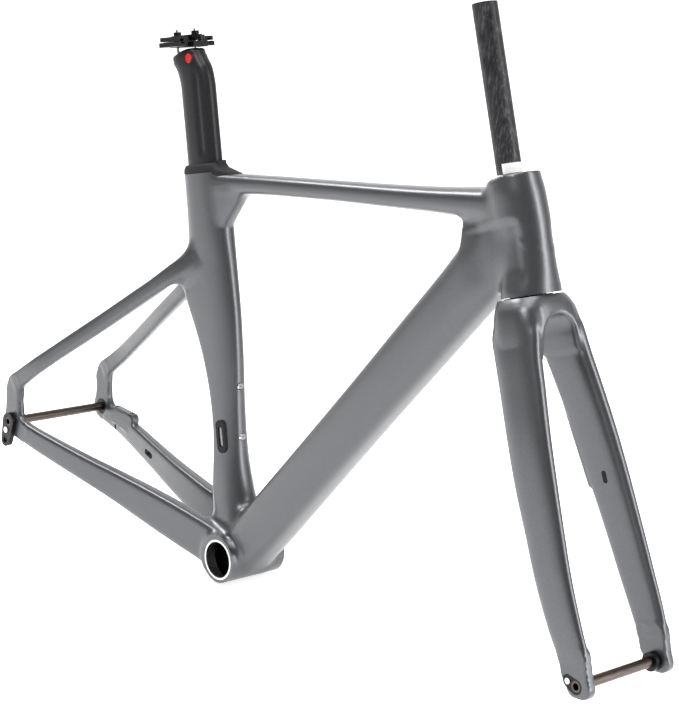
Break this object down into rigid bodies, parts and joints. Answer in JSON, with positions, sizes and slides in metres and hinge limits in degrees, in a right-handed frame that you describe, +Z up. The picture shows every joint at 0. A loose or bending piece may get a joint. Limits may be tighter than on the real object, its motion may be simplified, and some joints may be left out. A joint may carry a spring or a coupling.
{
  "type": "bicycle frameset",
  "caption": "Aero road bicycle frame with fork, seatpost and through-axles, ready for bottom bracket, headset, brakes and wheels.",
  "frame": {"origin": "centre of the bottom bracket bore, in the middle of the shell", "axes": "+X forward towards the fork, +Y to the left along the bottom bracket axis, +Z up"},
  "size_m": [1.0544, 0.1746, 0.7784],
  "materials": {
    "frame_paint": "satin metallic grey paint over carbon",
    "black_carbon": "satin black carbon",
    "raw_carbon": "raw unpainted carbon",
    "polished_alloy": "machined",
    "black_alloy": "black anodised",
    "bronze_axle": "dark bronze anodised",
    "red_alloy": "red anodised",
    "steel_bolt": "polished steel",
    "bearing_steel": "ground steel",
    "rubber": "matt black rubber",
    "grey_plug": "matt grey rubber"
  },
  "bodies": {
    "frame": {"head_tube": "frame_paint", "top_tube": "frame_paint", "down_tube": "frame_paint", "seat_tube": "frame_paint", "bb_shell": "frame_paint", "bb_sleeve": "polished_alloy", "chainstay_right": "frame_paint", "chainstay_left": "frame_paint", "seatstay_right": "frame_paint", "seatstay_left": "frame_paint", "dropout_right": "frame_paint", "dropout_left": "frame_paint", "axle_bush_rear": "black_alloy", "derailleur_hanger": "black_alloy", "hanger_bolt": "steel_bolt", "brake_mount_rear": "frame_paint", "port_cover": "rubber", "port_plug": "grey_plug", "bottle_rivnuts": "polished_alloy", "bottle_bolts": "steel_bolt", "seat_collar": "rubber", "seat_wedge": "polished_alloy", "seat_wedge_bolt": "steel_bolt", "upper_bearing_cup": "black_alloy", "lower_bearing_cup": "black_alloy"},
    "fork": {"steerer": "raw_carbon", "fork_crown": "frame_paint", "fork_blade_right": "frame_paint", "fork_blade_left": "frame_paint", "fork_end_right": "frame_paint", "fork_end_left": "frame_paint", "axle_nut_front": "black_alloy", "axle_nut_screw": "steel_bolt", "axle_bush_front": "black_alloy", "brake_mount_front": "frame_paint", "hose_grommet": "rubber", "upper_bearing_ring": "bearing_steel", "lower_bearing_ring": "bearing_steel", "compression_ring": "polished_alloy", "crown_race": "black_alloy"},
    "post": {"seatpost": "black_carbon", "seatpost_head": "black_carbon"},
    "rail_clamp": {"pivot_barrel": "red_alloy", "rail_cradle": "black_alloy", "rail_cap": "black_alloy", "clamp_bolts": "steel_bolt", "clamp_nut": "black_alloy"},
    "rear_axle": {"rear_axle": "bronze_axle"},
    "front_axle": {"front_axle": "bronze_axle"}
  },
  "joints": [
    {"name": "steering", "type": "hinge", "parent": "frame", "child": "fork", "pos_m": [0.42806, 0, 0.44081], "axis": [-0.3338, 0, 0.9426], "range_deg": [-60, 60]},
    {"name": "seatpost_height", "type": "slide", "parent": "frame", "child": "post", "axis": [-0.2521, 0, 0.9677], "range_m": [-0.06, 0.045]},
    {"name": "saddle_tilt", "type": "hinge", "parent": "post", "child": "rail_clamp", "pos_m": [-0.16452, 0, 0.60917], "axis": [0, 1, 0], "range_deg": [-6, 6]},
    {"name": "rear_axle_pull", "type": "slide", "parent": "frame", "child": "rear_axle", "axis": [0, 1, 0], "range_m": [0, 0.175]},
    {"name": "front_axle_pull", "type": "slide", "parent": "fork", "child": "front_axle", "axis": [0, 1, 0], "range_m": [0, 0.15]}
  ]
}
